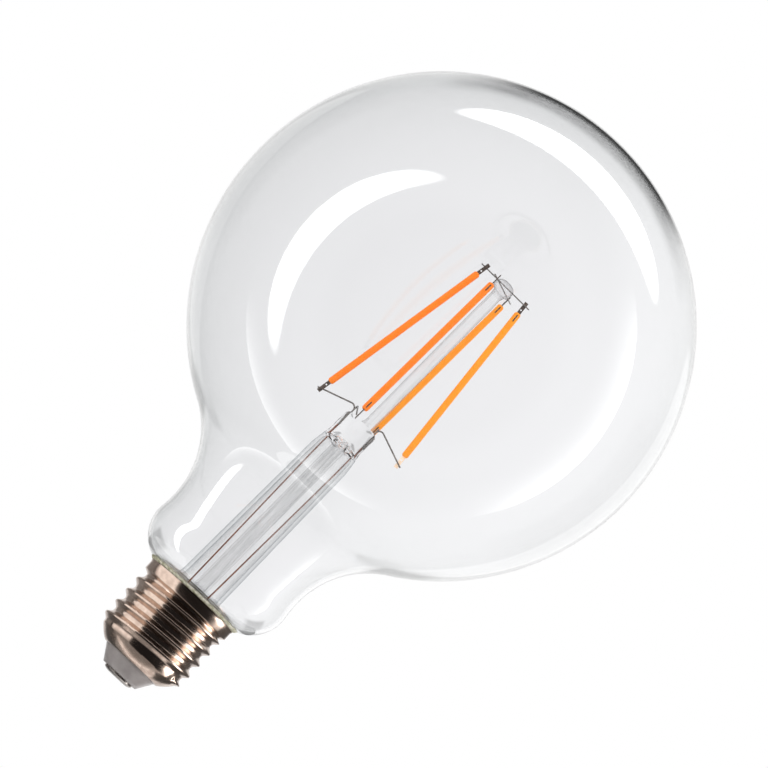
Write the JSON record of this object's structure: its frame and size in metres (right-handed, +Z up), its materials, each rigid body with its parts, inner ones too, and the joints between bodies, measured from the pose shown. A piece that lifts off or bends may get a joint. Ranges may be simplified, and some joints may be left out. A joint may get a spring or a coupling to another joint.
{
  "type": "globe light bulb",
  "caption": "Clear glass globe bulb with upright coated filaments on a glass stem, and a rolled metal screw cap.",
  "frame": {"origin": "middle of the flat on the bottom contact", "axes": "+Z up the bulb's axis from the contact to the top of the globe; -Y towards the viewer of the picture; +X to the viewer's right, the way the glass mount leans"},
  "size_m": [0.125, 0.125, 0.1793],
  "materials": {
    "clear_glass": "gloss",
    "stem_glass": "gloss",
    "nickel_sheet": "satin",
    "moulded_insulator": "satin",
    "contact_metal": "satin",
    "lamp_cement": "matte",
    "copper_wire": "satin",
    "nickel_wire": "satin",
    "phosphor_coat": "satin",
    "chip_strip": "matte",
    "tab_steel": "satin",
    "circuit_board": "satin",
    "can_aluminium": "satin",
    "black_resin": "matte",
    "resistor_body": "satin"
  },
  "bodies": {
    "root": {"glass_envelope": "clear_glass", "stem_flare": "stem_glass", "exhaust_tube": "stem_glass", "support_post": "stem_glass", "cap_shell": "nickel_sheet", "cap_insulator": "moulded_insulator", "centre_contact": "contact_metal", "cement_ring": "lamp_cement", "cross_wire_side": "nickel_wire", "cross_wire_front": "nickel_wire", "branch_wire_front": "nickel_wire", "branch_wire_back": "nickel_wire", "outer_lead_left": "copper_wire", "outer_lead_right": "copper_wire", "inner_lead_left": "nickel_wire", "inner_lead_right": "nickel_wire", "driver_board": "circuit_board", "capacitor": "can_aluminium", "rectifier": "black_resin", "driver_chip": "black_resin", "fuse_resistor": "resistor_body", "shell_wire": "copper_wire", "filament_left": "phosphor_coat", "filament_core_left": "chip_strip", "upper_tab_left": "tab_steel", "lower_tab_left": "tab_steel", "filament_front": "phosphor_coat", "filament_core_front": "chip_strip", "upper_tab_front": "tab_steel", "lower_tab_front": "tab_steel", "filament_back": "phosphor_coat", "filament_core_back": "chip_strip", "upper_tab_back": "tab_steel", "lower_tab_back": "tab_steel", "filament_right": "phosphor_coat", "filament_core_right": "chip_strip", "upper_tab_right": "tab_steel", "lower_tab_right": "tab_steel"}
  },
  "joints": []
}
